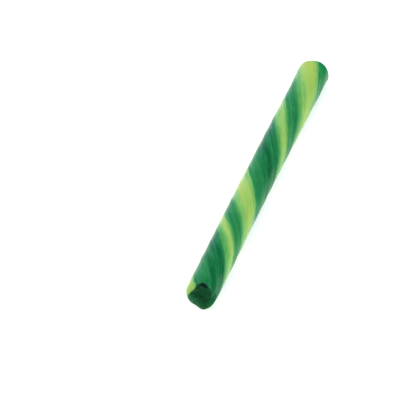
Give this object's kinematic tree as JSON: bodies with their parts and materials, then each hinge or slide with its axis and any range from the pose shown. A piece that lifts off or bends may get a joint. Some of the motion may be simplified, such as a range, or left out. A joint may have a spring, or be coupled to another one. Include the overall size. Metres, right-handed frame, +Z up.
{
  "type": "hard candy stick",
  "caption": "Straight round stick of hard pulled sugar, dark green with a wide and a narrow lime stripe twisted along it, cut blunt at both ends and lying on its side.",
  "frame": {"origin": "on the surface the stick lies on, below the middle of its box", "axes": "+X along the stick, from the chipped near end to the far end; +Z up, with the side that the picture shows on top"},
  "size_m": [0.127, 0.0106, 0.0101],
  "materials": {
    "pulled_sugar": "smooth, softly glossy boiled sugar, slightly translucent, dark green with lime stripes"
  },
  "bodies": {
    "root": {"candy_stick": "pulled_sugar"}
  },
  "joints": []
}
